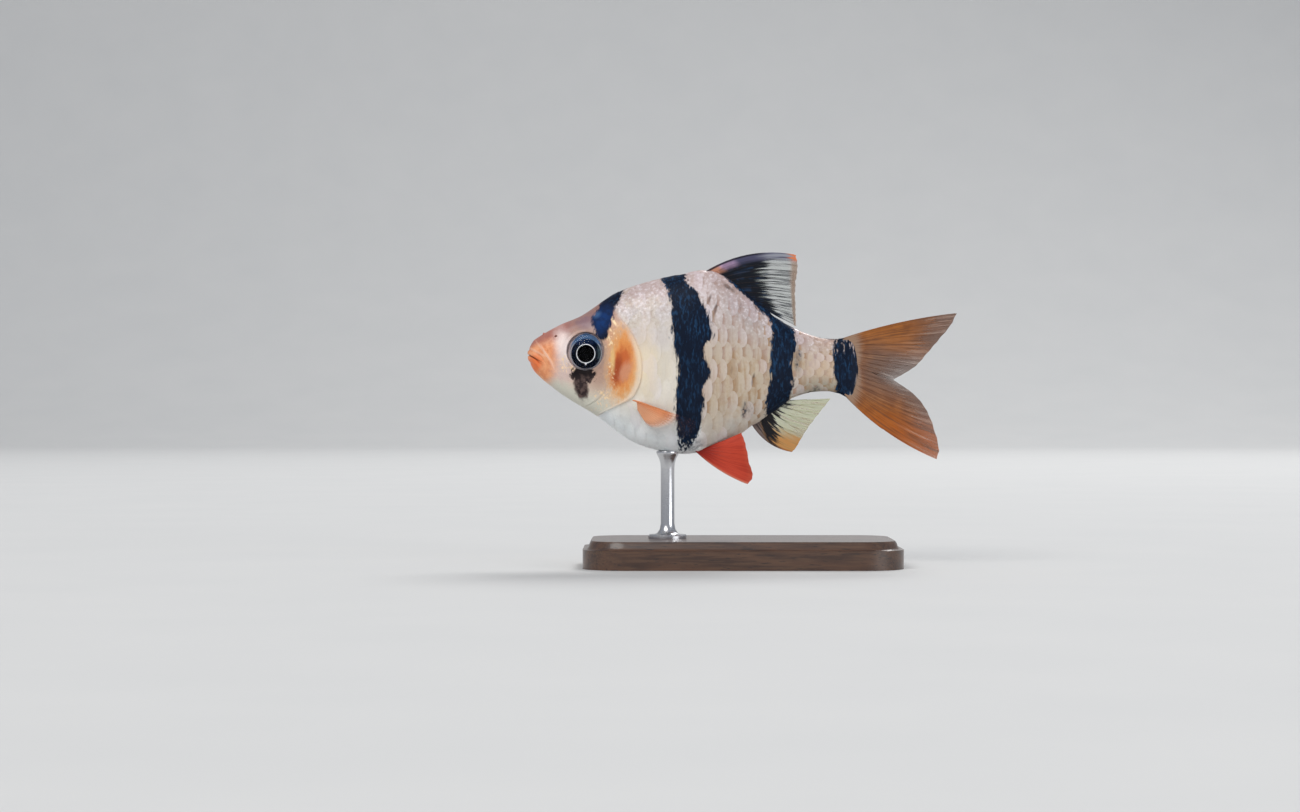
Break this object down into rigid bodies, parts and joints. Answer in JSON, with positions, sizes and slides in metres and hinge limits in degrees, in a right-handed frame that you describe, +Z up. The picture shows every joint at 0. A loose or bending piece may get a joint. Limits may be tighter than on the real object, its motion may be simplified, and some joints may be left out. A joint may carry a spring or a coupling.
{
  "type": "tiger barb model",
  "caption": "Life-size still model of a deep-bodied aquarium fish with blue-black bars and orange-red fins, held by a rod on a flat display base.",
  "frame": {"origin": "on the floor, under the middle of the whole model's box", "axes": "+X from the snout to the tail, +Y from the fish's left flank to its right flank, +Z up"},
  "size_m": [0.0626, 0.025, 0.0456],
  "materials": {
    "skin": "satin, silvery cream with blue-black bars",
    "eye": "wet gloss, dark with a silver ring",
    "dark_fin": "black base, clear and orange at the rear",
    "amber_fin": "thin, orange-brown rays in a clear web",
    "orange_fin": "thin, orange rays in a clear web",
    "red_fin": "thin, bright red",
    "stand_wood": "dark stain under satin lacquer",
    "stand_steel": "polished"
  },
  "bodies": {
    "root": {"head": "skin", "trunk": "skin", "tail_stalk": "skin", "eye_left": "eye", "eye_right": "eye", "dorsal_fin": "dark_fin", "anal_fin": "amber_fin", "caudal_fin_upper": "amber_fin", "caudal_fin_lower": "amber_fin", "pectoral_fin_left": "orange_fin", "pectoral_fin_right": "orange_fin", "pelvic_fin_left": "red_fin", "pelvic_fin_right": "red_fin", "stand_base": "stand_wood", "stand_rod": "stand_steel"}
  },
  "joints": []
}
